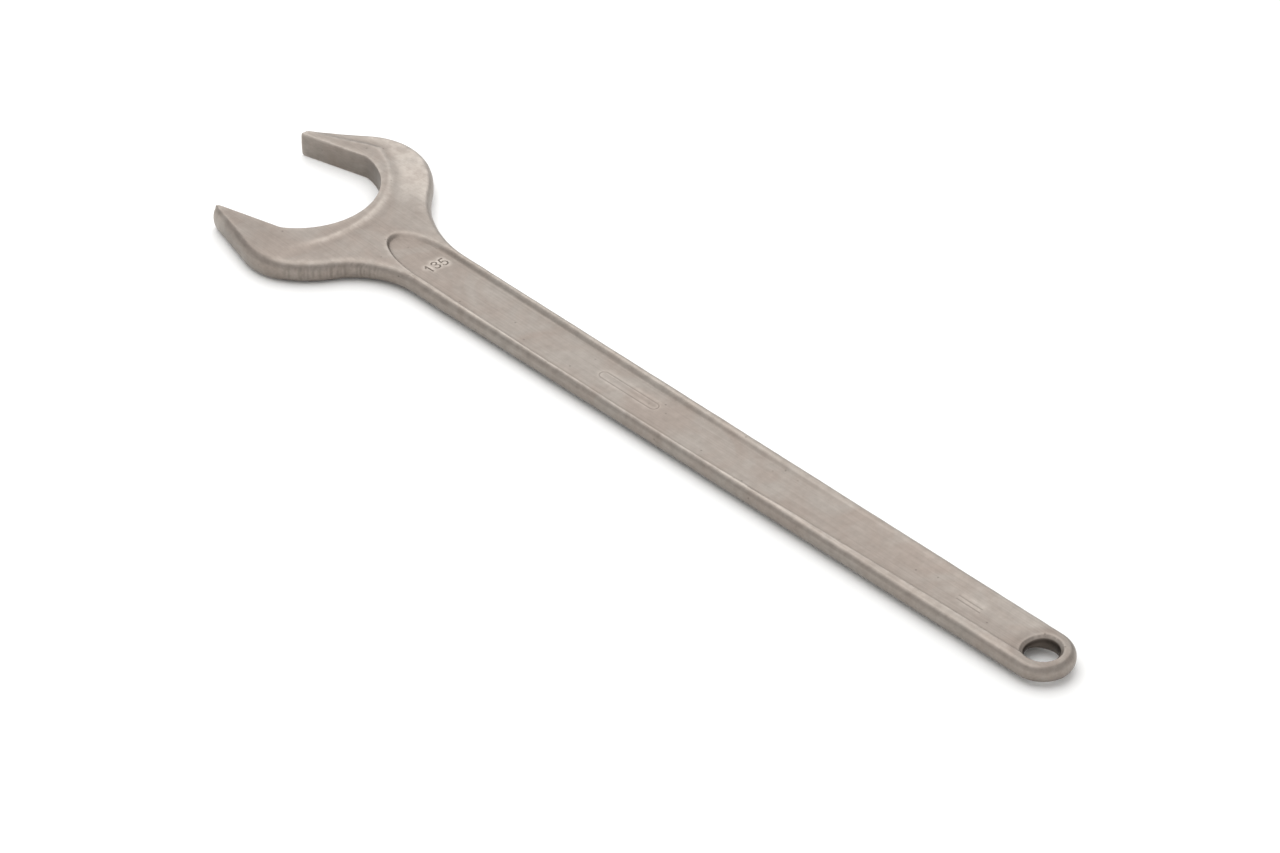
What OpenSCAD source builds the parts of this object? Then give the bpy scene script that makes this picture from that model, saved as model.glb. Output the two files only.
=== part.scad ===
// Forged single open-end spanner, one piece of steel.
// Millimetres. +X runs along the shank from the jaw to the handle end, +Z is up.
// The origin is on the axis of the nut held in the jaw, in the plane of the underside.
// The jaw opens towards -X, turned head_angle about +Z from the shank.

/* [Jaw] */
// Opening across the flats, the size of the spanner
across_flats = 135; // [110:1:150]
// Nut axis to the end of the upper jaw arm
tip_reach = 35.5; // [26:0.5:42]
// Nut axis to the end of the lower jaw arm
tip_reach_l = 33.5; // [26:0.5:42]
// Radius of the throat behind the nut
throat_r = 72; // [69:0.5:80]
// Nut axis to the centre of the throat arc
throat_x = 13.4; // [8:0.1:20]
// Angle between the jaw and the shank, degrees
head_angle = 15; // [10:1:20]

/* [Head] */
// Thickness over the raised band round the jaw
head_t = 24.2; // [22:0.2:30]
// Radius of the outer line of the raised band round the jaw
band_r = 113.6; // [108:0.2:118]
// Centre of that line along the jaw axis
band_x = -17.5; // [-22:0.5:-14]
// Centre of that line across the jaw axis
band_y = -10.2; // [-14:0.2:-4]
// Height of the raised band above each face of the head
band_h = 1.5; // [0.5:0.1:2.5]
// Upper arm, crest radius
crest_u_r = 67.6; // [60:0.1:72]
// Upper arm, crest centre along the jaw axis
crest_u_x = 46.8; // [40:0.5:52]
// Upper arm, crest centre across the jaw axis
crest_u_y = 42.4; // [36:0.1:48]
// Upper arm, shoulder radius
shoulder_u_r = 104; // [100:0.5:120]
// Lower arm, crest radius
crest_l_r = 56; // [48:0.1:60]
// Lower arm, crest centre along the jaw axis
crest_l_x = 53.6; // [48:0.1:60]
// Lower arm, crest centre across the jaw axis
crest_l_y = 60.2; // [56:0.1:66]
// Lower arm, shoulder radius
shoulder_l_r = 99.9; // [88:0.1:110]
// Rounding of the outer edges of the head
head_edge = 7; // [3:0.5:9]

/* [Neck] */
// Radius of the neck on the upper side
neck_u_r = 132; // [110:1:160]
// Radius of the neck on the lower side
neck_l_r = 72.5; // [60:0.5:90]
// Where the head starts to thin towards the shank
ramp_x0 = 108; // [100:1:125]
// Where the head has thinned to the shank
ramp_x1 = 190; // [170:1:191]

/* [Shank] */
// Nut axis to the centre of the hanging hole
hole_x = 928.5; // [700:0.5:1150]
// Shank centre line, offset from the nut axis
shank_y = 10.4; // [4:0.1:16]
// Shank width at the neck
shank_w0 = 63.6; // [54:0.2:76]
// Shank width at the handle end
shank_w1 = 57; // [48:0.2:62]
// Shank thickness
shank_t = 16.5; // [14:0.1:20]
// Rounding of the long edges of the shank
shank_edge = 5.5; // [2:0.25:7]

/* [Panel] */
// Depth of the long recessed panel in each face
panel_d = 3.5; // [1:0.1:4.5]
// Where the panel starts, on the neck
panel_x0 = 131; // [126:1:140]
// Where the panel reaches its full width
panel_x1 = 186; // [180:1:200]
// Panel width at the neck
panel_w0 = 50; // [40:0.5:54]
// Panel width at the hanging hole
panel_w1 = 37.6; // [32:0.2:44]
// Slope of the panel walls, millimetres in plan
panel_slope = 3; // [0.5:0.1:4]

/* [Hanging hole] */
// Diameter of the hanging hole
hole_d = 28.4; // [20:0.2:32]

/* [Hidden] */
steel = [0.64, 0.61, 0.58];
flat = across_flats / 2;
mid_z = head_t / 2;
web_z = head_t - band_h;
web_t = head_t - 2 * band_h;
shank_z = mid_z + shank_t / 2;
floor_z = shank_z - panel_d;
end_r = shank_w1 / 2;
ca = cos(head_angle);
sa = sin(head_angle);
ramp = atan((web_z - shank_z) / (ramp_x1 - ramp_x0));
far = 400;
// neighbouring curves cross by this much, so that every corner is a clean one
lap = 0.15;
// bearings, in the jaw frame, where each crest passes into its shoulder
joint_u = 50;
joint_l = -69.9;

// a point in the jaw frame, given in the shank frame
function js(p) = [p[0] * ca - p[1] * sa, p[0] * sa + p[1] * ca];
function dir(a) = [cos(a), sin(a)];
function bearing(a, b) = atan2(b[1] - a[1], b[0] - a[0]);
// the point where the line from p touches the circle c, r; side is +1 or -1
function touch(p, c, r, side) = c + r * dir(bearing(c, p) + side * acos(r / norm(p - c)));
// the centre of a neck arc that meets the shoulder circle and the shank edge
function neck_c(s, sr, nr, edge, side) =
    [s[0] + sqrt(pow(sr + nr - 2 * lap, 2) - pow(edge + side * nr - s[1], 2)), edge + side * nr];

crest_u = [crest_u_x, crest_u_y];
crest_l = [crest_l_x, -crest_l_y];
shoulder_u = crest_u - (shoulder_u_r - crest_u_r) * dir(joint_u);
shoulder_l = crest_l - (shoulder_l_r - crest_l_r) * dir(joint_l);
edge_u = shank_y + shank_w0 / 2;
edge_l = shank_y - shank_w0 / 2;
neck_u = neck_c(js(shoulder_u), shoulder_u_r, neck_u_r, edge_u - lap, 1);
neck_l = neck_c(js(shoulder_l), shoulder_l_r, neck_l_r, edge_l + lap, -1);
tip_u = [8 - tip_reach, flat + 13.2];
tip_l = [8 - tip_reach_l, -flat - 12.6];
touch_u = touch(tip_u, crest_u, crest_u_r - lap, -1);
touch_l = touch(tip_l, crest_l, crest_l_r - lap, 1);
su = js(shoulder_u);
sl = js(shoulder_l);
to_neck_u = bearing(su, neck_u);
to_neck_l = bearing(sl, neck_l);
// how far the lower neck's edge cutter runs on past the shoulder, as a length and in degrees
run_on = 11.39;
run_on_l = run_on / neck_l_r * 180 / PI;
to_crest_u = bearing(su, js(crest_u));
to_crest_l = bearing(sl, js(crest_l));

// ---- edge cutters ----

// what is cut off an edge: the edge is at the origin, the waste up and to the right, and
// both flats run a little past the faces they meet
module edge_section(e) {
    polygon([[-1.21 * e, 3], [-1.21 * e, 0.088 * e], [-0.293 * e, -0.293 * e],
        [0.088 * e, -1.21 * e], [3, -1.21 * e], [3, 3]]);
}

// the cut along the line from p to q, at height z; the waste is on the right of the line
module edge_line(p, q, z, e) {
    translate([p[0], p[1], z]) rotate(bearing(p, q)) rotate([90, 0, 90])
        linear_extrude(norm(q - p)) mirror([1, 0]) edge_section(e);
}

// the cut round the outside of an arc, between two bearings
module edge_arc(c, r, z, e, a0, a1) {
    translate([c[0], c[1], z]) rotate(a0) rotate_extrude(angle = a1 - a0, $fn = 180)
        translate([r, 0]) edge_section(e);
}

// the cut round the inside of a hollow arc, tilted to follow the slope of the neck
module edge_hollow(c, r, z, e, a0, a1) {
    translate([ramp_x0, 0, z]) rotate([0, ramp, 0]) translate([c[0] - ramp_x0, c[1], 0])
        rotate(a0) rotate_extrude(angle = a1 - a0, $fn = 180)
        translate([r, 0]) mirror([1, 0]) edge_section(e);
}

// the same cut on the top face and on the underside
module both_faces() {
    children();
    translate([0, 0, head_t]) mirror([0, 0, 1]) children();
}

// ---- head ----

// plan of the part of a round plate between two bearings
module sector(c, r, a0, a1) {
    m = (a0 + a1) / 2;
    intersection() {
        translate(c) circle(r = r, $fn = 180);
        polygon([c + 9 * dir(m), c + 1.4 * r * dir(a0), c + 1.6 * r * dir(m), c + 1.4 * r * dir(a1)]);
    }
}

// plan of the tapering part of a jaw arm; side is +1 for the upper arm, -1 for the lower
module arm_plan(crest, reach, tip, tp, side) {
    polygon([[-reach, side * 40], [-reach, side * (flat + 6.5)], tip, tp,
        crest - [5, side * 9]]);
}

// plan of the hollow side of the neck
module neck_plan(s, nc, nr) {
    side = sign(nc[1]);
    difference() {
        polygon([s + [14, side * 3], nc + [0, side], nc + [4, side], [nc[0] + 4, shank_y - side * 7]]);
        translate(nc) circle(r = nr, $fn = 180);
    }
}

module head_plan() {
    rotate(head_angle) {
        translate(crest_u) circle(r = crest_u_r, $fn = 180);
        translate(crest_l) circle(r = crest_l_r, $fn = 180);
        arm_plan(crest_u, tip_reach, tip_u, touch_u, 1);
        arm_plan(crest_l, tip_reach_l, tip_l, touch_l, -1);
        polygon([crest_u - [30, 12], crest_u + [20, -6], crest_l + [20, 6], crest_l - [30, -12]]);
    }
    sector(su, shoulder_u_r - lap, to_neck_u - 8, to_crest_u + 1.5);
    sector(sl, shoulder_l_r - lap, to_crest_l - 1.5, to_neck_l + 8);
    neck_plan(su, neck_u, neck_u_r);
    neck_plan(sl, neck_l, neck_l_r);
    polygon([[70, 60], [70, -55], [neck_l[0] - 3, shank_y - 9], [neck_u[0] - 3, shank_y + 9]]);
}

// side view of the head: full web, sloping down to the shank
module side_view() {
    polygon([[-far, band_h], [ramp_x0, band_h], [ramp_x1, head_t - shank_z],
        [hole_x, head_t - shank_z], [hole_x, shank_z], [ramp_x1, shank_z],
        [ramp_x0, web_z], [-far, web_z]]);
}

module head() {
    intersection() {
        linear_extrude(head_t) head_plan();
        translate([0, far, 0]) rotate([90, 0, 0]) linear_extrude(2 * far) side_view();
    }
}

// the outer edges; of two neighbours, the one that lies outside runs on past the joint and
// the other stops a little short of it
module head_edges() {
    e = head_edge;
    both_faces() {
        rotate(head_angle) {
            edge_line(touch_u + 30 * dir(bearing(tip_u, touch_u)), tip_u - [30, 14], web_z, e);
            edge_line(tip_l - [30, -14], touch_l + 30 * dir(bearing(tip_l, touch_l)), web_z, e);
            edge_arc(crest_u, crest_u_r, web_z, e, joint_u + 6, bearing(crest_u, touch_u) - 5);
            edge_arc(crest_l, crest_l_r, web_z, e, bearing(crest_l, touch_l) + 5, joint_l - 6);
        }
        edge_arc(su, shoulder_u_r, web_z, e, to_neck_u + 4.5, to_crest_u + 16);
        edge_arc(sl, shoulder_l_r, web_z, e, to_crest_l - 16, to_neck_l - 5.5);
        edge_hollow(neck_u, neck_u_r, web_z, shank_edge, 180 + to_neck_u - 9, 275);
        edge_hollow(neck_l, neck_l_r, web_z, shank_edge, 85, 180 + to_neck_l + run_on_l);
    }
}

// plan of the raised band that stands above both faces round the jaw
module band_plan() {
    rotate(head_angle) intersection() {
        translate([band_x, band_y]) circle(r = band_r, $fn = 180);
        polygon([[1.5 - tip_reach, flat + 5.4], [36, flat + 19], [130, flat + 19],
            [130, -flat - 21], [60, -flat - 21], [1.5 - tip_reach_l, -flat - 5.4]]);
    }
}

// ---- shank ----

module shank() {
    w = end_r - lap;
    translate([0, 0, head_t - shank_z]) linear_extrude(shank_t) {
        polygon([[neck_l[0] - 22, edge_l], [hole_x, shank_y - w], [hole_x, shank_y + w],
            [neck_u[0] - 26, edge_u]]);
        translate([hole_x, shank_y]) circle(r = end_r, $fn = 180);
    }
}

module shank_edges() {
    e = shank_edge;
    both_faces() {
        edge_line([neck_l[0] + 5, edge_l], [hole_x + 12, shank_y - end_r], shank_z, e);
        edge_line([hole_x + 12, shank_y + end_r], [neck_u[0] + 5, edge_u], shank_z, e);
        edge_arc([hole_x, shank_y], end_r, shank_z, e, -84, 84);
    }
}

// ---- cuts ----

// the jaw opening: two parallel faces and the throat arc behind them
module jaw() {
    rotate(head_angle) translate([0, 0, -1]) linear_extrude(head_t + 2) {
        translate([-far, -flat]) square([far + throat_x, across_flats]);
        intersection() {
            translate([throat_x, 0]) circle(r = throat_r, $fn = 180);
            translate([throat_x - 20, -flat]) square([far, across_flats]);
        }
    }
}

// the recessed panel shrunk by g on every side
module panel_plan(g) {
    w = panel_w0 / 2 - g;
    l = panel_x1 - panel_x0 - g;
    r = (l * l + w * w) / (2 * w);
    intersection() {
        translate([panel_x1, shank_y + w - r]) circle(r = r, $fn = 180);
        translate([panel_x1, shank_y - w + r]) circle(r = r, $fn = 180);
    }
    polygon([[panel_x1, shank_y - w + lap], [hole_x, shank_y - panel_w1 / 2 + g + lap],
        [hole_x, shank_y + panel_w1 / 2 - g - lap], [panel_x1, shank_y + w - lap]]);
    translate([hole_x, shank_y]) circle(r = panel_w1 / 2 - g, $fn = 120);
}

// one panel: a shallow step all round stands for the sloped wall
module panel() {
    translate([0, 0, floor_z]) linear_extrude(far) panel_plan(panel_slope);
    translate([0, 0, floor_z + panel_d / 2]) linear_extrude(far) panel_plan(0);
}

module forged_spanner() {
    color(steel) difference() {
        union() {
            difference() {
                union() {
                    head();
                    shank();
                }
                head_edges();
                shank_edges();
            }
            linear_extrude(head_t) intersection() {
                head_plan();
                band_plan();
            }
        }
        jaw();
        both_faces() panel();
        translate([hole_x, shank_y, -1]) cylinder(d = hole_d, h = head_t + 2, $fn = 120);
    }
}

// Which sub-part to draw

forged_spanner();
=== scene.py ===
"""Large forged single open-end spanner on a pale studio floor.

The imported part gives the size, the jaw and the hole; this file gives the forging its rounded
edges, raised band, sloped panel walls, stamps and steel. Lengths in the property groups are in
metres; the mesh code works in millimetres in the same frame and scales once, at the end.
"""

import math

import bmesh
import bpy
import numpy as np
from bpy.props import FloatProperty, FloatVectorProperty, PointerProperty
from mathutils import Matrix, Vector
from mathutils.geometry import delaunay_2d_cdt
from mathutils.kdtree import KDTree


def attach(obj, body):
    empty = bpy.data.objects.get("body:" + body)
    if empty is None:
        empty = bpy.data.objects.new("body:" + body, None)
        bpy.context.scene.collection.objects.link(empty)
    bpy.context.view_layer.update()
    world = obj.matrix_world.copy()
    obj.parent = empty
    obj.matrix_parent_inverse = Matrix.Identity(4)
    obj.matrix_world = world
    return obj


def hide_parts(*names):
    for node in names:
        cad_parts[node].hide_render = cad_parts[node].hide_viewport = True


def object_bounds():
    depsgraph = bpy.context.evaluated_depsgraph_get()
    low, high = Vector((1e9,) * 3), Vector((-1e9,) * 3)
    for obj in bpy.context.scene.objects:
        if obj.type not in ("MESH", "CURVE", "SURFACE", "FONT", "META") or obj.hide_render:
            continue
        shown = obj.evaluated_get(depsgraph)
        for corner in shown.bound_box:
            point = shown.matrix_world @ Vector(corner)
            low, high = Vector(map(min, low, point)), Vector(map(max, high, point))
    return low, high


bl_info = {
    "name": "Forged Open-End Spanner",
    "version": (1, 0, 0),
    "blender": (4, 5, 0),
    "location": "3D View > Sidebar > Spanner",
    "description": "Builds the looks of a large forged open-end spanner round its packed part",
    "category": "Object",
}

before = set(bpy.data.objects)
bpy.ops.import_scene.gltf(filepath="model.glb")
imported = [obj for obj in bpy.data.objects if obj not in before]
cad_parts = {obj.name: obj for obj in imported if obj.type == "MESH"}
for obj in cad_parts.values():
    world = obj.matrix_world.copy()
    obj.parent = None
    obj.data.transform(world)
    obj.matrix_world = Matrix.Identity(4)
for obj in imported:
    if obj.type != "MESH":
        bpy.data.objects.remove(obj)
CAD_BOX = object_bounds()
NODE = "forged_spanner"
MM = 0.001
THICKNESS = (CAD_BOX[1].z - CAD_BOX[0].z) / MM
MID = THICKNESS / 2


def linear(hex_colour):
    """An sRGB hex colour as linear RGBA."""
    channels = [int(hex_colour[i : i + 2], 16) / 255 for i in (1, 3, 5)]
    return [c / 12.92 if c <= 0.04045 else ((c + 0.055) / 1.055) ** 2.4 for c in channels] + [1.0]


def length(name, description, default, low=0.0):
    return FloatProperty(
        name=name, description=description, default=default, min=low, subtype="DISTANCE", unit="LENGTH"
    )


def colour(name, description, hex_colour):
    return FloatVectorProperty(
        name=name, description=description, default=linear(hex_colour), size=4, min=0, max=1, subtype="COLOR"
    )


def number(name, description, default):
    return FloatProperty(name=name, description=description, default=default, min=0)


# ---- sizes and colours a user would change ----


class SpannerShape(bpy.types.PropertyGroup):
    """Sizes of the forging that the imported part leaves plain"""

    head_round: length("Head edge", "How far the rounded outer edge of the head reaches inwards", 0.0080)
    shank_round: length("Shank edge", "How far the rounded long edges of the shank reach inwards", 0.0066)
    band_height: length("Band height", "Height of the raised band above the head", 0.0015)
    band_slope: length("Band slope", "Width of the slope outside the raised band", 0.0060)
    panel_depth: length("Panel depth", "Depth of the long recessed panel", 0.0035)
    far_wall: length("Upper wall", "Width of the sloped panel wall on the upper side", 0.0075)
    near_wall: length("Lower wall", "Width of the sloped panel wall on the lower side", 0.0030)
    stamp_depth: length("Stamp depth", "Depth of the stamped size number", 0.0006)
    waviness: length("Waviness", "Unevenness of the hammered faces", 0.00012)
    mesh_step: length("Mesh step", "Spacing of the mesh on the open faces", 0.0020, 0.0008)
    fine_step: length("Fine step", "Spacing of the mesh on slopes and walls", 0.0010, 0.0004)


class SteelFinish(bpy.types.PropertyGroup):
    """Colours and roughness of the forged steel"""

    # also serves as the painted highlight on convex edges, along the band's edge and on the upper arm
    bright: colour("Worn steel", "Ground and handled steel on the ridges", "#cbc2b9")
    body: colour("Steel", "Blasted steel on the open faces", "#979089")
    warm: colour("Warm steel", "Brownish tempered patches", "#928880")
    # also serves as the painted shade in concave folds, outside the band, on the jaw flats and throat, and
    # on the lower arm
    scale: colour("Scale", "Dark scale left in hollows and pits", "#4b433c")
    roughness: number("Roughness", "Roughness of the open faces", 0.44)


class StudioLook(bpy.types.PropertyGroup):
    """Floor, lights and camera"""

    floor: colour("Floor", "Plain pale floor", "#fbfbfa")
    sky: colour("Surround", "Soft light from all round", "#ffffff")
    sky_strength: number("Surround strength", "Light from all round", 0.80)
    key_watts: number("Key light", "Power of the large soft box over the object, in watts", 24)
    panel_watts: number("Back panel", "Power of the wide soft panel behind the object, in watts", 25)
    focal_mm: number("Focal length", "Camera focal length in millimetres", 140.625)


# ---- plan of the forging, in millimetres ----

JAW_ANGLE = math.radians(15)
FLAT = 67.5
THROAT = (13.4, 0.0)
THROAT_R = 72.0
UPPER_TIP = (-35.4, 76.8)
LOWER_TIP = (-33.4, -74.0)
HOLE = (928.5, 10.4)
HOLE_R = 14.2
END_R = 28.5
SHANK_Y = 10.4
SHANK_HALF = 31.8
WEB_HALF = 10.6
SHANK_T_HALF = 8.25
RAMP = (108.0, 190.0)
SOFT, MACHINED, PUNCHED = 1.0, 0.0, 0.85


def turn(points):
    """Jaw directions to shank directions."""
    p = np.atleast_2d(np.asarray(points, float))
    c, s = math.cos(JAW_ANGLE), math.sin(JAW_ANGLE)
    return np.stack([p[:, 0] * c - p[:, 1] * s, p[:, 0] * s + p[:, 1] * c], 1)


def polar(centre, radius, degrees):
    a = np.radians(degrees)
    return np.stack([centre[0] + radius * np.cos(a), centre[1] + radius * np.sin(a)], -1)


def arc(centre, radius, start, end, step=1.6):
    """Points along an arc between two bearings in degrees, without the last one."""
    n = max(2, math.ceil(abs(math.radians(end - start)) * radius / step))
    return polar(centre, radius, np.linspace(start, end, n, endpoint=False))


def line(p, q, step=2.0):
    p, q = np.asarray(p, float), np.asarray(q, float)
    n = max(1, math.ceil(np.linalg.norm(q - p) / step))
    return p + (q - p) * np.linspace(0, 1, n, endpoint=False)[:, None]


def bearing(p, q):
    return math.degrees(math.atan2(q[1] - p[1], q[0] - p[0]))


def touch(p, centre, radius, side):
    """Where the line from p touches a circle."""
    distance = math.hypot(p[0] - centre[0], p[1] - centre[1])
    return polar(centre, radius, bearing(centre, p) + side * math.degrees(math.acos(radius / distance)))


def corner(p, q, r, radius):
    """A rounded corner at q between the directions to p and r."""
    p, q, r = (np.asarray(v, float) for v in (p, q, r))
    a, b = (p - q) / np.linalg.norm(p - q), (r - q) / np.linalg.norm(r - q)
    half = math.acos(max(-1, min(1, float(a @ b)))) / 2
    reach = radius / math.tan(half)
    centre = q + (a + b) / np.linalg.norm(a + b) * radius / math.sin(half)
    start, end = bearing(centre, q + a * reach), bearing(centre, q + b * reach)
    end += 360 if end - start < -180 else -360 if end - start > 180 else 0
    return arc(centre, radius, start, end, 0.7), q + b * reach


class Head:
    """The arcs of one side of the head: crest, shoulder and neck."""

    def __init__(self, tip, crest, crest_r, joint, shoulder_r, neck_r, side):
        self.side = side
        self.crest_jaw, self.crest_r, self.joint = np.array(crest, float), crest_r, joint
        self.crest = turn([crest])[0]
        away = polar((0, 0), 1, joint)
        self.shoulder = turn([self.crest_jaw - (shoulder_r - crest_r) * away])[0]
        self.shoulder_r, self.neck_r = shoulder_r, neck_r
        edge = SHANK_Y + side * SHANK_HALF + side * neck_r
        across = edge - self.shoulder[1]
        self.neck = np.array([self.shoulder[0] + math.sqrt((shoulder_r + neck_r) ** 2 - across**2), edge])
        self.tip = np.array(tip)
        self.touch = touch(self.tip, crest, crest_r, -side)


UPPER = Head(UPPER_TIP, (46.8, 42.4), 67.5, 50.0, 104.0, 132.0, 1)
LOWER = Head(LOWER_TIP, (53.6, -60.2), 56.0, -69.9, 99.9, 72.5, -1)


def outline():
    """The closed plan outline, material on the left, and how soft its edge is at each point."""
    runs = []

    def add(points, softness):
        points = np.atleast_2d(points)
        runs.append((points, np.full(len(points), softness)))

    up, lo = UPPER, LOWER
    jaw_deg = math.degrees(JAW_ANGLE)
    # lower neck to the handle end
    neck_end = (lo.neck[0], SHANK_Y - SHANK_HALF)
    add(line(neck_end, (HOLE[0], HOLE[1] - END_R), 2.4), SOFT)
    add(arc(HOLE, END_R, -90, 90), SOFT)
    neck_end = (up.neck[0], SHANK_Y + SHANK_HALF)
    add(line((HOLE[0], HOLE[1] + END_R), neck_end, 2.4), SOFT)
    # upper neck, shoulder, crest and arm
    add(arc(up.neck, up.neck_r, 270, 180 + bearing(up.shoulder, up.neck)), SOFT)
    add(arc(up.shoulder, up.shoulder_r, bearing(up.shoulder, up.neck), up.joint + jaw_deg), SOFT)
    add(arc(up.crest, up.crest_r, up.joint + jaw_deg, bearing(up.crest_jaw, up.touch) + jaw_deg), SOFT)
    inner_tip = np.array([up.tip[0], FLAT])
    nose, nose_end = corner(up.touch, up.tip, inner_tip, 6.0)
    add(turn(line(up.touch, nose[0], 1.6)), SOFT)
    add(turn(nose), SOFT)
    heel, heel_end = corner(up.tip, inner_tip, (0, FLAT), 2.2)
    add(turn(line(nose_end, heel[0], 0.8)), SOFT)
    add(turn(heel), 0.4)
    # the two flats and the throat
    joint = THROAT[0] + math.sqrt(THROAT_R**2 - FLAT**2)
    swing = bearing(THROAT, (joint, FLAT))
    add(turn(line(heel_end, (joint, FLAT), 1.6)), MACHINED)
    add(turn(arc(THROAT, THROAT_R, swing, -swing)), MACHINED)
    inner_tip = np.array([lo.tip[0], -FLAT])
    lower_tip = lo.tip
    heel, heel_end = corner((0, -FLAT), inner_tip, lower_tip, 2.2)
    add(turn(line((joint, -FLAT), heel[0], 1.6)), MACHINED)
    add(turn(heel), 0.4)
    nose, nose_end = corner(inner_tip, lower_tip, lo.touch, 7.5)
    add(turn(line(heel_end, nose[0], 0.8)), SOFT)
    add(turn(nose), SOFT)
    add(turn(line(nose_end, lo.touch, 1.6)), SOFT)
    start = bearing(lo.crest_jaw, lo.touch) + jaw_deg
    add(arc(lo.crest, lo.crest_r, start - 360 if start > 0 else start, lo.joint + jaw_deg), SOFT)
    add(arc(lo.shoulder, lo.shoulder_r, lo.joint + jaw_deg, bearing(lo.shoulder, lo.neck)), SOFT)
    add(arc(lo.neck, lo.neck_r, 180 + bearing(lo.shoulder, lo.neck), 90, 0.8), SOFT)
    points = np.concatenate([r[0] for r in runs])
    softness = np.concatenate([r[1] for r in runs])
    return points, softness


def smooth_loop(values, passes):
    for _ in range(passes):
        values = (np.roll(values, 1, 0) + 2 * values + np.roll(values, -1, 0)) / 4
    return values


def inward(points):
    """Unit normals of a closed loop, pointing to the material on its left."""
    along = np.roll(points, -1, 0) - np.roll(points, 1, 0)
    normal = np.stack([-along[:, 1], along[:, 0]], 1)
    return normal / np.linalg.norm(normal, axis=1, keepdims=True)


def step(t):
    t = np.clip(t, 0, 1)
    return t * t * (3 - 2 * t)


def polyline_distance(points, path, closed=False):
    """Distance of each point from a path, and where along the path it is nearest."""
    path = np.asarray(path, float)
    a = path if closed else path[:-1]
    b = np.roll(path, -1, 0) if closed else path[1:]
    best = np.full(len(points), 1e9)
    where = np.zeros(len(points))
    for i, (p, q) in enumerate(zip(a, b)):
        d = q - p
        t = np.clip(((points - p) @ d) / (d @ d), 0, 1)
        gap = np.hypot(*(points - p - t[:, None] * d).T)
        near = gap < best
        best[near], where[near] = gap[near], i + t[near]
    return best, where


def inside(points, loop):
    hit = np.zeros(len(points), bool)
    x, y = points[:, 0], points[:, 1]
    for (ax, ay), (bx, by) in zip(loop, np.roll(loop, -1, 0)):
        if ay == by:
            continue
        cross = ((ay > y) != (by > y)) & (x < (bx - ax) * (y - ay) / (by - ay) + ax)
        hit ^= cross
    return hit


def curve(control, count):
    """A smooth curve through control points."""
    p = np.asarray(control, float)
    p = np.vstack([2 * p[0] - p[1], p, 2 * p[-1] - p[-2]])
    out = []
    for i in range(1, len(p) - 2):
        t = np.linspace(0, 1, count, endpoint=False)[:, None]
        a, b, c, d = p[i - 1 : i + 3]
        square, cube = 2 * a - 5 * b + 4 * c - d, 3 * b - a - 3 * c + d
        out.append(0.5 * (2 * b + (c - a) * t + square * t**2 + cube * t**3))
    return np.vstack(out + [p[-2][None]])


# outer line of the raised band in the jaw frame: along the upper arm, then one long arc
BAND_ARM = ((-46, 70), (-34, 75), (-20, 77.5), (-5, 80), (12, 83.2), (26, 86.2), (38, 87))
BAND_CENTRE, BAND_R, BAND_SWING = (-17.5, -10.2), 113.6, (58, -46)
BAND_FADE = ((50, -101), (20, -94), (-10, -84), (-46, -72))


def band_line():
    around = polar(BAND_CENTRE, BAND_R, np.linspace(*BAND_SWING, 9))
    return curve(np.vstack([BAND_ARM, around, BAND_FADE]), 12)


# upper and lower rim of the panel along the shank
PANEL_UPPER = (
    (190, 36.6), (333, 35.4), (443, 33.8), (549, 32.7), (651, 31.8), (751, 31.2), (860, 30.2), (925, 29),
)  # fmt: skip
PANEL_LOWER = (
    (190, -12.8), (260, -13.6), (360, -14.7), (467, -14.9), (571, -13.8),
    (671, -11.2), (768, -8.9), (845, -7.4), (925, -6.2),
)  # fmt: skip
# the tongue at the neck: where it starts, its centre line and its reach; a little fuller than an ellipse
PANEL_NOSE = (190.0, 12.0, 60.5)
NOSE_POWER = 2.15
PANEL_END_R = 18.2


def panel_rim():
    """The closed rim of the panel: a tongue at the neck, two long sides and a round at the hole."""
    x0, y0, reach = PANEL_NOSE
    top, bottom = curve(PANEL_UPPER, 10), curve(PANEL_LOWER, 10)
    a = np.radians(np.linspace(90, 270, 46))[1:-1]
    half = np.where(np.sin(a) > 0, top[0, 1] - y0, y0 - bottom[0, 1])
    c, s = np.cos(a), np.sin(a)
    nose_x = x0 + reach * np.sign(c) * np.abs(c) ** (2 / NOSE_POWER)
    nose_y = y0 + half * np.sign(s) * np.abs(s) ** (2 / NOSE_POWER)
    nose = np.stack([nose_x, nose_y], 1)
    end = polar(HOLE, PANEL_END_R, np.linspace(-66, 88, 30))
    return np.vstack([bottom, end, top[::-1], nose])


# stamped size number: strokes in units of the character height, reading to the right
DIGITS = {
    "1": [[(0.08, 0.74), (0.30, 1.0), (0.30, 0.0)]],
    "3": [[(0.03, 0.84), (0.12, 0.96), (0.28, 1.0), (0.46, 0.93), (0.52, 0.77), (0.44, 0.61), (0.26, 0.54)],
          [(0.26, 0.54), (0.46, 0.46), (0.55, 0.28), (0.46, 0.08), (0.28, 0.0), (0.10, 0.04), (0.0, 0.17)]],
    "5": [[(0.52, 1.0), (0.12, 1.0), (0.06, 0.55), (0.28, 0.62), (0.48, 0.52), (0.56, 0.32), (0.48, 0.10),
           (0.28, 0.0), (0.10, 0.03), (0.0, 0.15)]],
}  # fmt: skip
DIGIT_HEIGHT = 10.0
DIGIT_PLACES = (("1", 192.6, 2.6, -2.0), ("3", 192.0, 10.6, 1.5), ("5", 192.8, 19.0, -1.0))


def digit_strokes():
    """The three digits on the panel floor, reading across the shank, each struck by hand."""
    strokes = []
    for digit, x, y, tilt in DIGIT_PLACES:
        c, s = math.cos(math.radians(tilt)), math.sin(math.radians(tilt))
        for stroke in DIGITS[digit]:
            u = np.array(stroke) * DIGIT_HEIGHT
            strokes.append(np.stack([x - u[:, 1] * c + u[:, 0] * s, y + u[:, 0] * c + u[:, 1] * s], 1))
    return strokes


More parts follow.
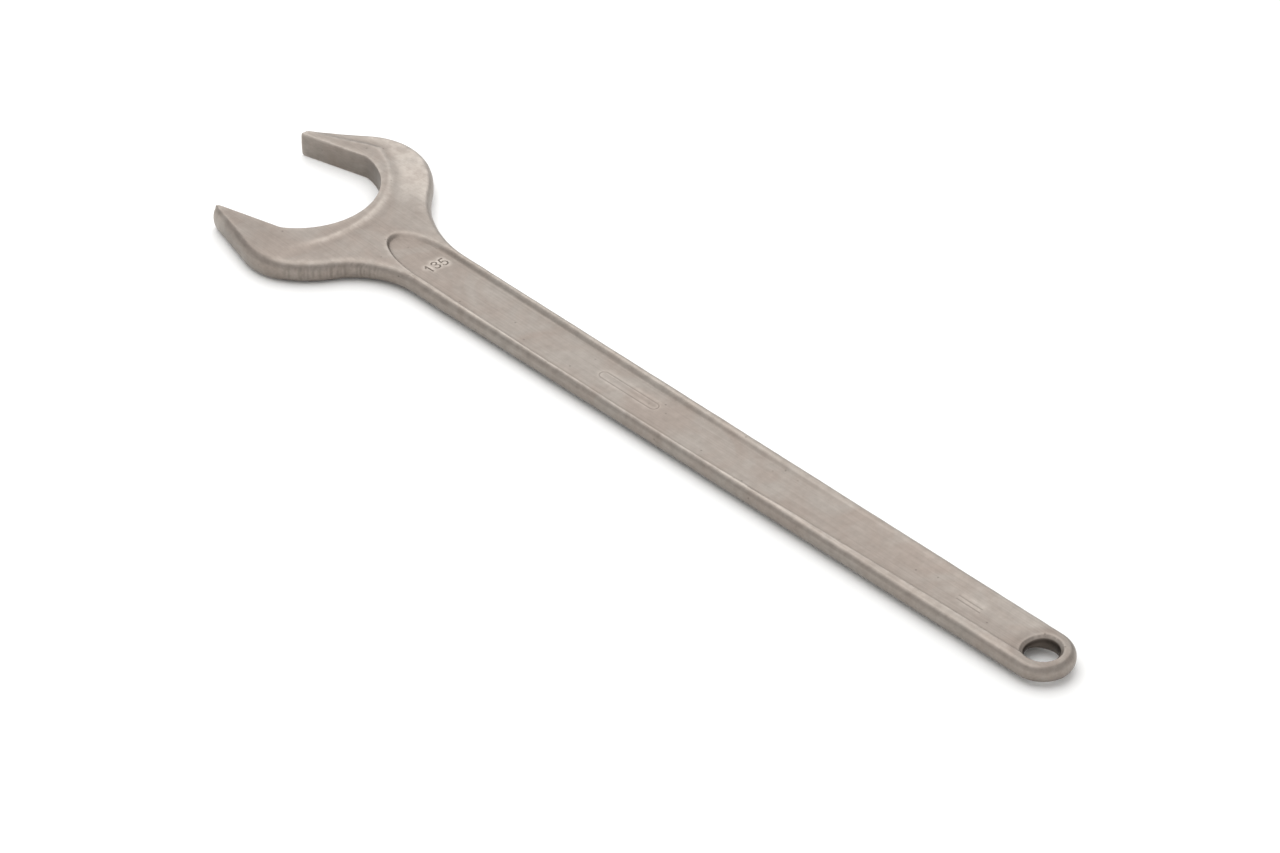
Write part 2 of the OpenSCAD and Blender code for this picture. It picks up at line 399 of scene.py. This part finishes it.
def plain_marks():
    """Blank stamps: a plain stadium-shaped plate and two short bars, without any lettering."""
    x0, x1, y, r = 412.0, 474.0, 10.0, 4.6
    plate = np.vstack([
        line((x0, y - r), (x1, y - r), 4), polar((x1, y), r, np.linspace(-90, 90, 12)),
        line((x1, y + r), (x0, y + r), 4), polar((x0, y), r, np.linspace(90, 270, 12)),
    ])  # fmt: skip
    bars = [np.array([(834.0, 13.4), (860.0, 13.2)]), np.array([(835.0, 9.2), (861.0, 9.0)])]
    return [plate] + bars


def waves(points, scale, seed):
    """A smooth random surface between about -1 and 1."""
    rng = np.random.default_rng(seed)
    total = np.zeros(len(points))
    for _ in range(9):
        angle, phase = rng.uniform(0, math.tau, 2)
        size = scale * rng.uniform(0.6, 1.8)
        total += np.sin((points @ [math.cos(angle), math.sin(angle)]) * math.tau / size + phase)
    return total / 4.5


class Surface:
    """Height of a face of the forging above its middle plane, at any point of the plan."""

    def __init__(self, shape):
        self.shape = shape
        self.band = turn(band_line())
        self.band_area = np.vstack([self.band, turn([(-44, -60), (-44, 60)])])
        self.rim = panel_rim()
        self.digits = digit_strokes()
        self.marks = plain_marks()

    def measure(self, points):
        """Signed distances from the band's outer line and the panel's rim, positive inside."""
        band, self.along = polyline_distance(points, self.band)
        band *= np.where(inside(points, self.band_area), 1, -1)
        panel, _ = polyline_distance(points, self.rim, closed=True)
        panel *= np.where(inside(points, self.rim), 1, -1)
        return band, panel

    def height(self, points, stamped, seed):
        x, y = points[:, 0], points[:, 1]
        band, panel = self.measure(points)
        ramp = step((x - RAMP[0]) / (RAMP[1] - RAMP[0]))
        z = WEB_HALF + (SHANK_T_HALF - WEB_HALF) * ramp
        # the slope outside the band spreads and fades along the lower arm
        fade = step((self.along / 12 - 13.0) / 3.0)
        slope = self.shape.band_slope / MM * (1 + 3.2 * fade)
        z += self.shape.band_height / MM * step((band + slope * (0.5 + 0.35 * fade)) / slope)
        # the panel: a wide soft wall on the upper side, a narrow one on the lower
        upper = step((y - SHANK_Y + 14) / 28)
        wall = (self.shape.near_wall + (self.shape.far_wall - self.shape.near_wall) * upper) / MM
        depth = self.shape.panel_depth / MM * step(panel / wall + 0.12)
        # the panel shallows on its upper side towards the hole
        depth *= 1 - 0.70 * step((x - 420) / 480) * step((y - SHANK_Y + 2) / 20)
        z -= depth
        # the rim round the hole is drawn down towards it
        r = np.hypot(x - HOLE[0], y - HOLE[1])
        lip = np.exp(-(((r - 17.5) / 2.4) ** 2))
        z += 0.45 * lip * step((HOLE[0] - x + 3) / 12) * step((y + 2) / 10)
        z -= 2.0 * step((18.6 - r) / 3.4)
        if stamped:
            cut = self.strokes(points, self.digits, 1.05)
            z -= self.shape.stamp_depth / MM * cut
            z -= 0.20 * self.strokes(points, self.marks, 0.8)
        soft = step((np.hypot(x - 15, y) - 60) / 60)
        swell = waves(points, 55, seed) + 0.5 * waves(points, 22, seed + 1)
        z += self.shape.waviness / MM * swell * (0.3 + 0.7 * soft)
        return np.minimum(z, MID)

    @staticmethod
    def strokes(points, paths, width):
        cut = np.zeros(len(points))
        for path in paths:
            low, high = path.min(0) - 2, path.max(0) + 2
            near = np.where(((points > low) & (points < high)).all(1))[0]
            if len(near):
                gap, _ = polyline_distance(points[near], path)
                cut[near] = np.maximum(cut[near], step((width / 2 + 0.25 - gap) / 0.5))
        return cut


# ---- mesh ----

RINGS = 11
WEAR_AND_LIGHT_SMOOTHING = 3
# section of a rounded edge: 2 is an ellipse, more is fuller
EDGE_POWER, HOLE_POWER = 2.15, 1.8
HOLE_ROUND = 2.5
# the bevel of a machined edge: distance in from the outline, and drop below the face
BEVEL_IN = np.array([0, 0, 0, 0, 0, 0.03, 0.12, 0.28, 0.5, 0.75, 1.0])
BEVEL_DROP = np.array([1e3, 1e3, 6.0, 3.4, 1.8, 1.0, 0.66, 0.36, 0.16, 0.04, 0])


def grid(low, high, pitch):
    """A hexagonal grid of points."""
    rows = np.arange(low[1], high[1], pitch * math.sqrt(3) / 2)
    columns = np.arange(low[0], high[0], pitch)
    x, y = np.meshgrid(columns, rows)
    x = x + (np.arange(len(rows)) % 2)[:, None] * pitch / 2
    return np.stack([x.ravel(), y.ravel()], 1)


def edge_rings(points, softness, width, power, face):
    """Plan positions and heights of the rings that round one edge, from the middle plane up."""
    normal = inward(points)
    t = np.radians(np.linspace(0, 80, RINGS))
    top = math.sin(t[-1])
    plan, rise = [], []
    share = softness[:, None]
    full = share * width[:, None] * (1 - np.cos(t[-1]) ** (2 / power)) + (1 - share) * BEVEL_IN[-1]
    z_face = face(points + normal * full)
    for k in range(RINGS):
        round_in = width * (1 - math.cos(t[k]) ** (2 / power))
        round_z = z_face * (math.sin(t[k]) / top) ** (2 / power)
        bevel_z = np.maximum(z_face - BEVEL_DROP[k], z_face * k / 10)
        bevel_z = np.where(k == 0, 0, bevel_z)
        reach = softness * round_in + (1 - softness) * BEVEL_IN[k]
        plan.append(points + normal * reach[:, None])
        rise.append(softness * round_z + (1 - softness) * bevel_z)
    return plan, rise


def inner_points(surface, loop, loop_reach, hole, shape):
    """Plan points inside the rings: coarse on open faces, fine on slopes, finest on stamps."""
    tree = KDTree(len(loop))
    for i, (x, y) in enumerate(loop):
        tree.insert((x, y, 0), i)
    tree.balance()
    normal = inward(loop)

    def clear(points, gap):
        keep = np.zeros(len(points), bool)
        for k, (x, y) in enumerate(points):
            _, i, distance = tree.find((x, y, 0))
            side = (x - loop[i, 0]) * normal[i, 0] + (y - loop[i, 1]) * normal[i, 1]
            keep[k] = side > 0 and distance > loop_reach[i] + gap
        r = np.hypot(points[:, 0] - HOLE[0], points[:, 1] - HOLE[1])
        return points[keep & (r > HOLE_R + hole + gap)]

    low, high = loop.min(0), loop.max(0)
    coarse_step, fine_step = shape.mesh_step / MM, shape.fine_step / MM
    coarse = clear(grid(low, high, coarse_step), 0.75 * coarse_step)
    band, panel = surface.measure(coarse)
    detail = (np.abs(band) < 5.5) | ((panel > -2.5) & (panel < 6.5))
    detail |= np.hypot(coarse[:, 0] - HOLE[0], coarse[:, 1] - HOLE[1]) < 25
    stamps = surface.digits + surface.marks
    boxes = [(p.min(0) - 1.2, p.max(0) + 1.2) for p in stamps]

    def stamped(points, grow=0.0):
        hit = np.zeros(len(points), bool)
        for a, b in boxes:
            hit |= ((points > a - grow) & (points < b + grow)).all(1)
        return hit

    fine = clear(grid(low + 0.31, high, fine_step), 0.9 * fine_step)
    band, panel = surface.measure(fine)
    near = (np.abs(band) < 5.2) | ((panel > -2.2) & (panel < 6.2))
    near |= np.hypot(fine[:, 0] - HOLE[0], fine[:, 1] - HOLE[1]) < 24.6
    fine = fine[near]
    finest = []
    for path in stamps:
        cell = grid(path.min(0) - 1.1, path.max(0) + 1.1, 0.4)
        gap, _ = polyline_distance(cell, path)
        finest.append(cell[gap < 1.5])
    finest = np.unique(np.round(np.vstack(finest), 3), axis=0)
    coarse = coarse[~detail & ~stamped(coarse)]
    fine = fine[~stamped(fine)]
    middle = clear(grid(low + 0.17, high, 1.3), 1.0)
    middle = middle[stamped(middle)]
    gap = np.full(len(middle), 1e9)
    for path in stamps:
        gap = np.minimum(gap, polyline_distance(middle, path)[0])
    middle = middle[gap > 1.9]
    # overlapping stamp grids may put two points almost on one another
    keep = np.ones(len(finest), bool)
    pairs = KDTree(len(finest))
    for i, (x, y) in enumerate(finest):
        pairs.insert((x, y, 0), i)
    pairs.balance()
    for i, (x, y) in enumerate(finest):
        if keep[i]:
            for _, j, _ in pairs.find_range((x, y, 0), 0.16):
                if j != i:
                    keep[j] = False
    return np.vstack([coarse, fine, middle, finest[keep]])


def triangles(outer, hole, inner):
    """Triangles between the last outline ring, the hole's last ring and the points between."""
    plan = np.vstack([outer, hole, inner])
    n, m = len(outer), len(hole)
    edges = [(i, (i + 1) % n) for i in range(n)] + [(n + i, n + (i + 1) % m) for i in range(m)]
    verts = [Vector((float(x), float(y))) for x, y in plan]
    _, _, faces, origin, _, _ = delaunay_2d_cdt(verts, edges, [], 0, 1e-5)
    back = np.array([o[0] if len(o) else -1 for o in origin])
    if (back < 0).any():
        raise RuntimeError("the outline rings cross each other, so the face can't be filled")
    faces = back[np.array(faces)]
    rim_only = (faces < n + m).all(1)
    centre = plan[faces].mean(1)
    keep = ~rim_only
    test = np.where(rim_only)[0]
    keep[test] = inside(centre[test], outer) & ~inside(centre[test], hole)
    return faces[keep]


def spanner_mesh(shape):
    surface = Surface(shape)
    points, softness = outline()
    points = smooth_loop(points, 2)
    softness = smooth_loop(softness, 3)
    x = points[:, 0]
    width = shape.head_round / MM + (shape.shank_round - shape.head_round) / MM * step((x - 120) / 80)
    # the arms narrow to the tips, and their edges tighten with them
    jaw_x = turn_back(points)[:, 0]
    tip_share = np.where(points[:, 1] > 0, 0.5, 0.75)
    width = np.where(x < 60, width * (tip_share + (1 - tip_share) * step((jaw_x + 34) / 50)), width)
    rough = waves(points, 30, 5) * 0.12 + waves(points, 11, 6) * 0.05
    points = points + inward(points) * (0.1 + rough * softness)[:, None]
    hole_points = polar(HOLE, HOLE_R, np.linspace(360, 0, 120, endpoint=False))
    bump = waves(hole_points, 14, 8)
    hole_points = hole_points - inward(hole_points) * (0.10 * bump - 0.05)[:, None]
    hole_soft = np.full(len(hole_points), PUNCHED)
    hole_width = np.full(len(hole_points), HOLE_ROUND)

    verts, faces = [], []
    shared = {}
    # the top face, then the underside, each with its own unevenness
    for sign, seed in ((1, 11), (-1, 23)):
        stamped = sign > 0

        def face(p):
            return surface.height(p, False, seed)

        plan, rise = edge_rings(points, softness, width, EDGE_POWER, face)
        hole_plan, hole_rise = edge_rings(hole_points, hole_soft, hole_width, HOLE_POWER, face)
        if not shared:
            reach = np.hypot(*(plan[-1] - points).T)
            hole_reach = float(np.hypot(*(hole_plan[-1] - hole_points).T).max())
            shared["inner"] = inner_points(surface, points, reach, hole_reach, shape)
        inner = shared["inner"]
        groups = [(plan, rise, len(points)), (hole_plan, hole_rise, len(hole_points))]
        block, heights, index = [], [], []
        for rings, levels, count in groups:
            ids = []
            for k in range(RINGS):
                ids.append(len(np.vstack(block)) + np.arange(count) if block else np.arange(count))
                block.append(rings[k])
                heights.append(levels[k])
            index.append(ids)
        base = len(np.vstack(block))
        block.append(inner)
        heights.append(surface.height(inner, stamped, seed))
        flat = np.vstack(block)
        z = MID + sign * np.concatenate(heights)
        here = np.column_stack([flat, z])
        # both faces share the ring on the middle plane
        ids = np.arange(len(here)) + sum(len(v) for v in verts)
        if sign < 0:
            for which in (0, 1):
                ids[index[which][0]] = shared["middle"][which]
        else:
            shared["middle"] = [index[0][0], index[1][0]]
        verts.append(here)
        quads = []
        for which, (_, _, count) in enumerate(groups):
            for k in range(RINGS - 1):
                a, b = index[which][k], index[which][k + 1]
                quad = np.stack([a, np.roll(a, -1), np.roll(b, -1), b], 1)
                quads.append(quad)
        local = np.vstack(quads)
        tris = triangles(plan[-1], hole_plan[-1], inner)
        remap = np.concatenate([index[0][-1], index[1][-1], base + np.arange(len(inner))])
        tris = remap[tris]
        if sign < 0:
            local, tris = local[:, ::-1], tris[:, ::-1]
        faces += [list(f) for f in ids[local]] + [list(f) for f in ids[tris]]
    co = np.vstack(verts)
    return co * MM, faces


def turn_back(points):
    c, s = math.cos(JAW_ANGLE), math.sin(JAW_ANGLE)
    return np.stack([points[:, 0] * c + points[:, 1] * s, -points[:, 0] * s + points[:, 1] * c], 1)


def add_wear_and_painted_light(mesh, shape):
    """Stores how convex (bright: handled steel and painted highlight) or concave (dark: scale and painted
    shade) the surface is at each vertex.
    """
    n = len(mesh.vertices)
    co, normal = np.empty(n * 3), np.empty(n * 3)
    mesh.vertices.foreach_get("co", co)
    mesh.vertex_normals.foreach_get("vector", normal)
    co, normal = co.reshape(-1, 3), normal.reshape(-1, 3)
    edges = np.empty(len(mesh.edges) * 2, np.int64)
    mesh.edges.foreach_get("vertices", edges)
    a, b = edges.reshape(-1, 2).T
    d = co[b] - co[a]
    bend = ((normal[b] - normal[a]) * d).sum(1) / np.maximum((d * d).sum(1), (0.4 * MM) ** 2)
    total, count = np.zeros(n), np.zeros(n)
    for ends in (a, b):
        np.add.at(total, ends, bend)
        np.add.at(count, ends, 1)
    wear_and_painted_light = total / np.maximum(count, 1)
    for _ in range(WEAR_AND_LIGHT_SMOOTHING):
        total = wear_and_painted_light * 2
        count = np.full(n, 2.0)
        np.add.at(total, a, wear_and_painted_light[b])
        np.add.at(total, b, wear_and_painted_light[a])
        np.add.at(count, a, 1)
        np.add.at(count, b, 1)
        wear_and_painted_light = total / count
    # convex edges come out positive, worn steel with a painted highlight; concave folds come out negative,
    # scale with painted shade
    wear_and_painted_light = np.clip(wear_and_painted_light / 400, -1, 1)
    # the band's edge gets a painted highlight, and a painted shade lies outside the step
    plan, up = co[:, :2] / MM, normal[:, 2]
    band, _ = Surface(shape).measure(plan)
    fade = 1 - step((plan[:, 0] * 0.4 - plan[:, 1] - 62) / 50)
    # the painted shade in the fold at the foot of the step is kept weaker than in other concave places
    wear_and_painted_light *= 1 - 0.7 * np.exp(-(((band + 4) / 5) ** 2)) * step((150 - plan[:, 0]) / 20)
    wear_and_painted_light += (0.34 * np.exp(-(((band - 0.5) / 2.8) ** 2)) - 0.14 * np.exp(-(((band + 7) / 3) ** 2))) * fade
    # the upright jaw flats and throat wall get painted shade, deepest in the throat
    upright = 1 - step(np.abs(up) / 0.5)
    jaw = turn_back(plan)
    throat_shade_mask = upright * (np.hypot(*(jaw - THROAT).T) < THROAT_R + 2) * (jaw[:, 0] < 90)
    flats = upright * (np.abs(np.abs(jaw[:, 1]) - FLAT) < 1.2) * (jaw[:, 0] < 40)
    wear_and_painted_light -= 0.25 * np.maximum(throat_shade_mask, flats) * (0.5 + step((jaw[:, 0] + 10) / 70))
    # the wall of the punched hole is darkened almost to the scale colour
    bore = np.hypot(*(plan - HOLE).T)
    wear_and_painted_light -= 1.2 * step((HOLE_R + 1.9 - bore) / 1.2)
    # the eye of the handle is stained, and the face outside the band on the upper arm gets a painted
    # highlight
    wear_and_painted_light -= 0.18 * step((29 - bore) / 6)
    wear_and_painted_light += 0.40 * step((-band - 2) / 6) * step((jaw[:, 1] - 15) / 45) * step((up - 0.6) / 0.3)
    # the top of the lower arm outside the band gets a little painted shade
    wear_and_painted_light -= 0.12 * step((-60 - jaw[:, 1]) / 20) * step((60 - jaw[:, 0]) / 30) * step((up - 0.9) / 0.1)
    # upright scale grooves where the lower neck was drawn down
    neck = step((plan[:, 0] - 92) / 12) * step((165 - plan[:, 0]) / 15) * step((-14 - plan[:, 1]) / 6)
    wear_and_painted_light -= 0.55 * neck * (1 - step(np.abs(up) / 0.95)) * np.clip(waves(plan, 3.4, 41), 0, 1)
    layer = mesh.attributes.new("wear_and_painted_light", "FLOAT", "POINT")
    layer.data.foreach_set("value", np.clip(wear_and_painted_light, -1, 1).astype(np.float32))


# ---- materials ----


# sockets of the blend node when it mixes colours
FACTOR, UNDER, OVER = 0, 6, 7


def node(tree, kind, inputs, **settings):
    """Adds a node: settings are its properties; inputs are values, or the sockets or nodes that
    they link to. A list of stops fills a colour ramp."""
    n = tree.nodes.new(kind)
    stops = settings.pop("stops", ())
    for key, value in settings.items():
        setattr(n, key, value)
    for key, value in inputs.items():
        if isinstance(value, bpy.types.Node):
            value = next(o for o in value.outputs if o.enabled)
        if isinstance(value, bpy.types.NodeSocket):
            tree.links.new(value, n.inputs[key])
        else:
            n.inputs[key].default_value = value
    for element, (position, level) in zip(n.color_ramp.elements if stops else (), stops):
        element.position = position
        element.color = (level, level, level, 1)
    return n


def drop_forged_steel(finish):
    """Drop-forged tool steel, blasted clean and lightly ground: a satin grey metal, warmer where
    it was tempered, bright on the handled ridges with a painted highlight, and dark with scale and painted
    shade in the concave places."""
    material = bpy.data.materials.new("drop_forged_steel_blasted")
    material.use_nodes = True
    tree = material.node_tree
    tree.nodes.clear()
    noise, math_kind, blend, levels = (
        "ShaderNodeTexNoise", "ShaderNodeMath", "ShaderNodeMix", "ShaderNodeValToRGB",
    )  # fmt: skip
    place = node(tree, "ShaderNodeTexCoord", {}).outputs["Object"]
    wear_and_painted_light = node(tree, "ShaderNodeAttribute", {}, attribute_name="wear_and_painted_light").outputs["Fac"]

    # tempering patches 60 mm across turn the grey brownish
    cloud = {"Scale": 1 / 0.060, "Detail": 4.0, "Roughness": 0.58, "Distortion": 1.2}
    patches = node(tree, noise, {"Vector": place, **cloud})
    warmth = node(tree, levels, {"Fac": patches}, stops=((0.40, 0.0), (0.62, 1.0)))
    body, warm = list(finish.body), list(finish.warm)
    base = node(tree, blend, {FACTOR: warmth, UNDER: body, OVER: warm}, data_type="RGBA")

    # blast mottling 9 mm across, darker where scale stayed
    mottle = node(tree, noise, {"Vector": place, "Scale": 1 / 0.009, "Detail": 4.0, "Roughness": 0.6})
    dull = node(tree, levels, {"Fac": mottle}, stops=((0.30, 0.24), (0.70, 0.0)))
    base = node(tree, blend, {FACTOR: dull, UNDER: base, OVER: list(finish.scale)}, data_type="RGBA")

    # grinding marks along the shank, 1.5 mm apart and 90 mm long: faint straight streaks
    spacing = (1 / 0.090, 1 / 0.0015, 1 / 0.0015)
    stretched = node(tree, "ShaderNodeMapping", {"Vector": place, "Scale": spacing})
    streaks = node(tree, noise, {"Vector": stretched, "Scale": 1.0, "Detail": 2.0})
    lines = node(tree, levels, {"Fac": streaks}, stops=((0.35, 0.12), (0.65, 0.0)))
    base = node(tree, blend, {FACTOR: lines, UNDER: base, OVER: list(finish.scale)}, data_type="RGBA")

    # scale and painted shade in the concave places, bare worn steel and painted highlight on the ridges,
    # broken up by the mottling
    hollow_scale_and_shade = node(tree, math_kind, {0: wear_and_painted_light, 1: -0.7}, operation="MULTIPLY", use_clamp=True)
    base = node(tree, blend, {FACTOR: hollow_scale_and_shade, UNDER: base, OVER: list(finish.scale)}, data_type="RGBA")
    broken = node(tree, levels, {"Fac": mottle}, stops=((0.36, 0.45), (0.64, 0.95)))
    ridge_wear_and_highlight = node(tree, math_kind, {0: wear_and_painted_light, 1: broken}, operation="MULTIPLY", use_clamp=True)
    base = node(tree, blend, {FACTOR: ridge_wear_and_highlight, UNDER: base, OVER: list(finish.bright)}, data_type="RGBA")

    # single dark pits, about one every 14 mm
    cells = node(tree, "ShaderNodeTexVoronoi", {"Vector": place, "Scale": 1 / 0.014, "Randomness": 1.0})
    pits = node(tree, levels, {"Fac": cells}, stops=((0.030, 0.5), (0.085, 0.0)))
    base = node(tree, blend, {FACTOR: pits, UNDER: base, OVER: list(finish.scale)}, data_type="RGBA")

    # the gloss varies with the mottling, and the ridges are smoother
    middle = finish.roughness - 0.08
    gloss = node(tree, math_kind, {0: mottle, 1: 0.16, 2: middle}, operation="MULTIPLY_ADD")
    gloss = node(tree, math_kind, {0: ridge_wear_and_highlight, 1: -0.10, 2: gloss}, operation="MULTIPLY_ADD")

    # relief: blast grain of about 0.5 mm, drawn at 0.9 mm so that it shows, mottling and pits
    grain = node(tree, noise, {"Vector": place, "Scale": 1 / 0.0009, "Detail": 2.0})
    relief = node(tree, math_kind, {0: grain, 1: 0.5, 2: mottle}, operation="MULTIPLY_ADD")
    relief = node(tree, math_kind, {0: pits, 1: -2.4, 2: relief}, operation="MULTIPLY_ADD")
    bump = node(tree, "ShaderNodeBump", {"Height": relief, "Strength": 0.35, "Distance": 0.00025})

    look = {"Base Color": base, "Roughness": gloss, "Normal": bump, "Metallic": 1.0}
    shader = node(tree, "ShaderNodeBsdfPrincipled", look)
    node(tree, "ShaderNodeOutputMaterial", {"Surface": shader})
    return material


def painted_floor(look):
    """Matt white studio floor: it only catches the soft shadow."""
    material = bpy.data.materials.new("studio_floor_matt_paint")
    material.use_nodes = True
    shader = material.node_tree.nodes["Principled BSDF"]
    shader.inputs["Base Color"].default_value = list(look.floor)
    shader.inputs["Roughness"].default_value = 0.9
    return material


# ---- operators ----

# direction and slope of the view, and where the camera stands, in metres
VIEW_AZIMUTH = math.radians(136.947)
VIEW_PITCH = math.radians(36.5)
CAMERA_AT = (2.98668, -2.35350, 2.54750)
# half the side of the floor, and the middle of the object on it
FLOOR_HALF = 30.0
MIDDLE = (0.45, 0.01, 0.0)


class SPANNER_OT_forging(bpy.types.Operator):
    """Build the forged spanner: rounded edges, raised band, recessed panels, hole and stamps"""

    bl_idname = "spanner.forging"
    bl_label = "Forging"

    def execute(self, context):
        co, faces = spanner_mesh(context.scene.spanner_shape)
        mesh = bpy.data.meshes.new("spanner_forging")
        mesh.from_pydata(co.tolist(), [], faces)
        mesh.update()
        used = np.zeros(len(mesh.vertices), bool)
        used[np.concatenate([np.asarray(f) for f in faces])] = True
        drop_loose(mesh, used)
        mesh.shade_smooth()
        add_wear_and_painted_light(mesh, context.scene.spanner_shape)
        mesh.materials.append(drop_forged_steel(context.scene.spanner_steel))
        obj = bpy.data.objects.new("spanner_forging", mesh)
        context.scene.collection.objects.link(obj)
        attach(obj, "root")
        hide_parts(NODE)
        return {"FINISHED"}


def drop_loose(mesh, used):
    """Removes the second copy of the ring that both faces share."""
    bm = bmesh.new()
    bm.from_mesh(mesh)
    bm.verts.ensure_lookup_table()
    bmesh.ops.delete(bm, geom=[v for v in bm.verts if not used[v.index]], context="VERTS")
    bm.to_mesh(mesh)
    bm.free()


class SPANNER_OT_stage(bpy.types.Operator):
    """Set the pale floor, the soft lights and the camera"""

    bl_idname = "spanner.stage"
    bl_label = "Studio"

    def execute(self, context):
        scene = context.scene
        look = scene.spanner_studio
        mesh = bpy.data.meshes.new("studio_floor")
        corners = [(x * FLOOR_HALF, y * FLOOR_HALF, 0.0) for x, y in ((-1, -1), (1, -1), (1, 1), (-1, 1))]
        mesh.from_pydata(corners, [], [(0, 1, 2, 3)])
        mesh.materials.append(painted_floor(look))
        floor = bpy.data.objects.new("studio_floor", mesh)
        scene.collection.objects.link(floor)

        world = bpy.data.worlds.new("studio_surround")
        world.use_nodes = True
        background = world.node_tree.nodes["Background"]
        background.inputs["Color"].default_value = list(look.sky)
        background.inputs["Strength"].default_value = look.sky_strength
        scene.world = world

        target = Vector(MIDDLE)
        away = Vector((math.cos(VIEW_AZIMUTH), math.sin(VIEW_AZIMUTH), 0))
        side = Vector((away.y, -away.x, 0))
        up = Vector((0, 0, 1))
        for name, (wide, high), watts, offset in (
            ("soft_box_over", (2.6, 2.2), look.key_watts, away * 0.1 - side * 0.3 + up * 2.2),
            ("soft_panel_behind", (3.4, 2.0), look.panel_watts, away * 2.2 + up * 1.75),
        ):
            light = bpy.data.lights.new(name, "AREA")
            light.shape, light.size, light.size_y = "RECTANGLE", wide, high
            light.energy = watts
            box = bpy.data.objects.new(name, light)
            box.location = target + offset
            box.rotation_euler = (target - box.location).to_track_quat("-Z", "Y").to_euler()
            scene.collection.objects.link(box)

        lens = bpy.data.cameras.new("camera")
        lens.sensor_width, lens.lens = 36.0, look.focal_mm
        lens.clip_end = 60
        camera = bpy.data.objects.new("camera", lens)
        forward = away * math.cos(VIEW_PITCH) - up * math.sin(VIEW_PITCH)
        top = away * math.sin(VIEW_PITCH) + up * math.cos(VIEW_PITCH)
        turned = Matrix((side, top, -forward)).transposed()
        camera.matrix_world = Matrix.Translation(Vector(CAMERA_AT)) @ turned.to_4x4()
        scene.collection.objects.link(camera)
        scene.camera = camera
        scene.view_settings.view_transform = "Standard"
        return {"FINISHED"}


class SPANNER_PT_sidebar(bpy.types.Panel):
    bl_label = "Open-End Spanner"
    bl_idname = "SPANNER_PT_sidebar"
    bl_space_type = "VIEW_3D"
    bl_region_type = "UI"
    bl_category = "Spanner"

    def draw(self, context):
        scene = context.scene
        for group in (scene.spanner_shape, scene.spanner_steel, scene.spanner_studio):
            column = self.layout.column(align=True)
            for name in group.__annotations__:
                column.prop(group, name)
        for operator in (SPANNER_OT_forging, SPANNER_OT_stage):
            self.layout.operator(operator.bl_idname)


CLASSES = (SpannerShape, SteelFinish, StudioLook, SPANNER_OT_forging, SPANNER_OT_stage, SPANNER_PT_sidebar)


def register():
    for cls in CLASSES:
        bpy.utils.register_class(cls)
    bpy.types.Scene.spanner_shape = PointerProperty(type=SpannerShape)
    bpy.types.Scene.spanner_steel = PointerProperty(type=SteelFinish)
    bpy.types.Scene.spanner_studio = PointerProperty(type=StudioLook)


def unregister():
    for name in ("spanner_shape", "spanner_steel", "spanner_studio"):
        delattr(bpy.types.Scene, name)
    for cls in reversed(CLASSES):
        bpy.utils.unregister_class(cls)


def main():
    register()
    bpy.ops.spanner.forging()
    bpy.ops.spanner.stage()


if __name__ == "__main__":
    main()
